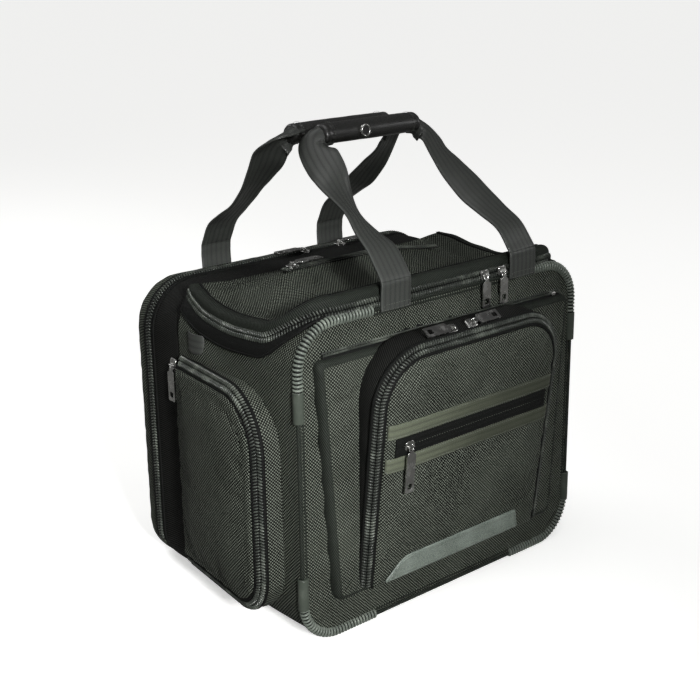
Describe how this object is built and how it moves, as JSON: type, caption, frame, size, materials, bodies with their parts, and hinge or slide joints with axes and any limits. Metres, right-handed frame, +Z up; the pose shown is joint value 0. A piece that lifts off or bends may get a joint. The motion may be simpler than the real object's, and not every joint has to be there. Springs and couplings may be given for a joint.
{
  "type": "flight bag",
  "caption": "Soft-sided flight bag with a zipped lid, a rear clamshell door, zipped front and side pockets and a pair of padded carry handles.",
  "frame": {"origin": "on the floor, at the middle of the base between the left and right walls and the front and rear faces of the carcase", "axes": "+X along the front to the right, +Y to the rear, +Z up"},
  "size_m": [0.4388, 0.3197, 0.471],
  "materials": {
    "ballistic_cloth": "coarse basket-weave nylon, matt with a soft sheen",
    "dark_lining_cloth": "fine dark woven nylon lining, matt",
    "webbing": "ribbed nylon webbing, satin",
    "satin_band": "satin ribbon band, soft sheen",
    "zip_tape_and_coil": "nylon coil zip on woven tape, satin",
    "ribbed_guard": "moulded ribbed guard, satin",
    "patch_leather": "grained grey leather, satin",
    "grip_leather": "smooth dark leather, glossy",
    "bright_nickel": "polished nickel plate",
    "stiff_board": "stiff dark board, matt"
  },
  "bodies": {
    "carcase": {"base_panel": "ballistic_cloth", "base_board": "stiff_board", "front_panel": "ballistic_cloth", "left_side_panel": "ballistic_cloth", "right_side_panel": "ballistic_cloth", "divider_panel": "dark_lining_cloth", "rear_gusset": "ballistic_cloth", "front_piping": "ballistic_cloth", "corner_guards": "ribbed_guard", "mouth_zip_chain": "zip_tape_and_coil", "rear_zip_chain": "zip_tape_and_coil", "side_loops": "webbing", "mid_pocket_panel": "ballistic_cloth", "mid_pocket_bellows": "dark_lining_cloth", "mid_pocket_zip": "zip_tape_and_coil", "organizer_gusset": "ballistic_cloth", "organizer_zip_chain": "zip_tape_and_coil", "left_pocket_gusset": "ballistic_cloth", "right_pocket_gusset": "ballistic_cloth"},
    "lid": {"lid_panel": "ballistic_cloth", "lid_zip_chain": "zip_tape_and_coil", "lid_pocket_zip": "zip_tape_and_coil"},
    "rear_door": {"rear_panel": "ballistic_cloth", "rear_panel_zip_chain": "zip_tape_and_coil"},
    "organizer_door": {"organizer_panel": "ballistic_cloth", "organizer_panel_zip_chain": "zip_tape_and_coil", "trim_bands": "satin_band", "band_zip": "zip_tape_and_coil", "badge_patch": "patch_leather"},
    "left_pocket_door": {"left_pocket_panel": "ballistic_cloth"},
    "right_pocket_door": {"right_pocket_panel": "ballistic_cloth"},
    "front_roots": {"front_handle_roots": "webbing"},
    "front_handle": {"front_handle_webbing": "webbing", "front_grip": "grip_leather", "snap_cap": "bright_nickel", "snap_stud": "bright_nickel"},
    "rear_roots": {"rear_handle_roots": "webbing"},
    "rear_handle": {"rear_handle_webbing": "webbing", "rear_grip": "grip_leather"},
    "lid_left_slider": {"lid_left_slider": "bright_nickel"},
    "lid_left_pull": {"lid_left_pull": "bright_nickel"},
    "lid_right_slider": {"lid_right_slider": "bright_nickel"},
    "lid_right_pull": {"lid_right_pull": "bright_nickel"},
    "rear_left_slider": {"rear_left_slider": "bright_nickel"},
    "rear_left_pull": {"rear_left_pull": "bright_nickel"},
    "rear_right_slider": {"rear_right_slider": "bright_nickel"},
    "rear_right_pull": {"rear_right_pull": "bright_nickel"},
    "organizer_left_slider": {"organizer_left_slider": "bright_nickel"},
    "organizer_left_pull": {"organizer_left_pull": "bright_nickel"},
    "organizer_right_slider": {"organizer_right_slider": "bright_nickel"},
    "organizer_right_pull": {"organizer_right_pull": "bright_nickel"},
    "band_slider": {"band_slider": "bright_nickel"},
    "band_pull": {"band_pull": "bright_nickel"},
    "lid_pocket_slider": {"lid_pocket_slider": "bright_nickel"},
    "lid_pocket_pull": {"lid_pocket_pull": "bright_nickel"},
    "left_pocket_slider": {"left_pocket_slider": "bright_nickel"},
    "left_pocket_pull": {"left_pocket_pull": "bright_nickel"},
    "right_pocket_slider": {"right_pocket_slider": "bright_nickel"},
    "right_pocket_pull": {"right_pocket_pull": "bright_nickel"},
    "mid_pocket_slider": {"mid_pocket_slider": "bright_nickel"}
  },
  "joints": [
    {"name": "lid_open", "type": "hinge", "parent": "carcase", "child": "lid", "pos_m": [0, 0.05, 0.316], "axis": [-1, 0, 0], "range_deg": [0, 80]},
    {"name": "rear_door_open", "type": "hinge", "parent": "carcase", "child": "rear_door", "pos_m": [0, 0.1332, 0.0302], "axis": [-1, 0, 0], "range_deg": [0, 90]},
    {"name": "organizer_open", "type": "hinge", "parent": "carcase", "child": "organizer_door", "pos_m": [0, -0.146, 0.042], "axis": [1, 0, 0], "range_deg": [0, 85]},
    {"name": "left_pocket_open", "type": "hinge", "parent": "carcase", "child": "left_pocket_door", "pos_m": [-0.193, 0.047, 0], "axis": [0, 0, -1], "range_deg": [0, 70]},
    {"name": "right_pocket_open", "type": "hinge", "parent": "carcase", "child": "right_pocket_door", "pos_m": [0.193, 0.047, 0], "axis": [0, 0, 1], "range_deg": [0, 70]},
    {"name": "front_roots_tilt", "type": "hinge", "parent": "carcase", "child": "front_roots", "pos_m": [0, -0.137, 0.321], "axis": [1, 0, 0], "range_deg": [0, 90]},
    {"name": "rear_roots_tilt", "type": "hinge", "parent": "rear_door", "child": "rear_roots", "pos_m": [0, 0.1355, 0.315], "axis": [-1, 0, 0], "range_deg": [0, 90]},
    {"name": "front_handle_drop", "type": "hinge", "parent": "front_roots", "child": "front_handle", "pos_m": [0, -0.137, 0.3495], "axis": [1, 0, 0], "range_deg": [0, 105]},
    {"name": "rear_handle_drop", "type": "hinge", "parent": "rear_roots", "child": "rear_handle", "pos_m": [0, 0.1355, 0.3435], "axis": [-1, 0, 0], "range_deg": [0, 105]},
    {"name": "mid_pocket_slide", "type": "slide", "parent": "carcase", "child": "mid_pocket_slider", "axis": [1, 0, 0], "range_m": [-0.28, 0]},
    {"name": "lid_left_slide", "type": "slide", "parent": "carcase", "child": "lid_left_slider", "axis": [1, 0, 0], "range_m": [-0.085, 0]},
    {"name": "lid_left_pull_turn", "type": "hinge", "parent": "lid_left_slider", "child": "lid_left_pull", "pos_m": [0.05, -0.14, 0.323], "axis": [-1, 0, 0], "range_deg": [0, 110]},
    {"name": "lid_right_slide", "type": "slide", "parent": "carcase", "child": "lid_right_slider", "axis": [1, 0, 0], "range_m": [-0.012, 0]},
    {"name": "lid_right_pull_turn", "type": "hinge", "parent": "lid_right_slider", "child": "lid_right_pull", "pos_m": [0.075, -0.14, 0.323], "axis": [-1, 0, 0], "range_deg": [0, 110]},
    {"name": "rear_left_slide", "type": "slide", "parent": "carcase", "child": "rear_left_slider", "axis": [1, 0, 0], "range_m": [-0.12, 0.035]},
    {"name": "rear_left_pull_turn", "type": "hinge", "parent": "rear_left_slider", "child": "rear_left_pull", "pos_m": [0.01, 0.097, 0.318], "axis": [0, 1, 0], "range_deg": [0, 150]},
    {"name": "rear_right_slide", "type": "slide", "parent": "carcase", "child": "rear_right_slider", "axis": [1, 0, 0], "range_m": [0, 0.06]},
    {"name": "rear_right_pull_turn", "type": "hinge", "parent": "rear_right_slider", "child": "rear_right_pull", "pos_m": [0.062, 0.097, 0.318], "axis": [0, -1, 0], "range_deg": [0, 150]},
    {"name": "organizer_left_slide", "type": "slide", "parent": "carcase", "child": "organizer_left_slider", "axis": [1, 0, 0], "range_m": [-0.035, 0.01]},
    {"name": "organizer_left_pull_turn", "type": "hinge", "parent": "organizer_left_slider", "child": "organizer_left_pull", "pos_m": [-0.025, -0.16697, 0.29224], "axis": [0, 1, 0], "range_deg": [0, 150]},
    {"name": "organizer_right_slide", "type": "slide", "parent": "carcase", "child": "organizer_right_slider", "axis": [1, 0, 0], "range_m": [0, 0.055]},
    {"name": "organizer_right_pull_turn", "type": "hinge", "parent": "organizer_right_slider", "child": "organizer_right_pull", "pos_m": [0.002, -0.16697, 0.29224], "axis": [0, -1, 0], "range_deg": [0, 150]},
    {"name": "band_slide", "type": "slide", "parent": "organizer_door", "child": "band_slider", "axis": [1, 0, 0], "range_m": [0, 0.18]},
    {"name": "band_pull_turn", "type": "hinge", "parent": "band_slider", "child": "band_pull", "pos_m": [-0.088, -0.17765, 0.19031], "axis": [-1, 0, 0], "range_deg": [0, 110]},
    {"name": "lid_pocket_slide", "type": "slide", "parent": "lid", "child": "lid_pocket_slider", "axis": [1, 0, 0], "range_m": [0, 0.14]},
    {"name": "lid_pocket_pull_turn", "type": "hinge", "parent": "lid_pocket_slider", "child": "lid_pocket_pull", "pos_m": [-0.088, -0.006, 0.3362], "axis": [0, -1, 0], "range_deg": [0, 150]},
    {"name": "left_pocket_slide", "type": "slide", "parent": "carcase", "child": "left_pocket_slider", "axis": [0, 0, 1], "range_m": [0, 0.012]},
    {"name": "left_pocket_pull_turn", "type": "hinge", "parent": "left_pocket_slider", "child": "left_pocket_pull", "pos_m": [-0.195, 0.059, 0.238], "axis": [0, 1, 0], "range_deg": [0, 110]},
    {"name": "right_pocket_slide", "type": "slide", "parent": "carcase", "child": "right_pocket_slider", "axis": [0, 0, 1], "range_m": [-0.07, 0.03]},
    {"name": "right_pocket_pull_turn", "type": "hinge", "parent": "right_pocket_slider", "child": "right_pocket_pull", "pos_m": [0.203, -0.1162, 0.15], "axis": [-1, 0, 0], "range_deg": [0, 110]}
  ],
  "couplings": [
    {"joint": "front_roots_tilt", "follows": "lid_open", "ratio": 1.1},
    {"joint": "rear_roots_tilt", "follows": "lid_open", "ratio": 1}
  ]
}
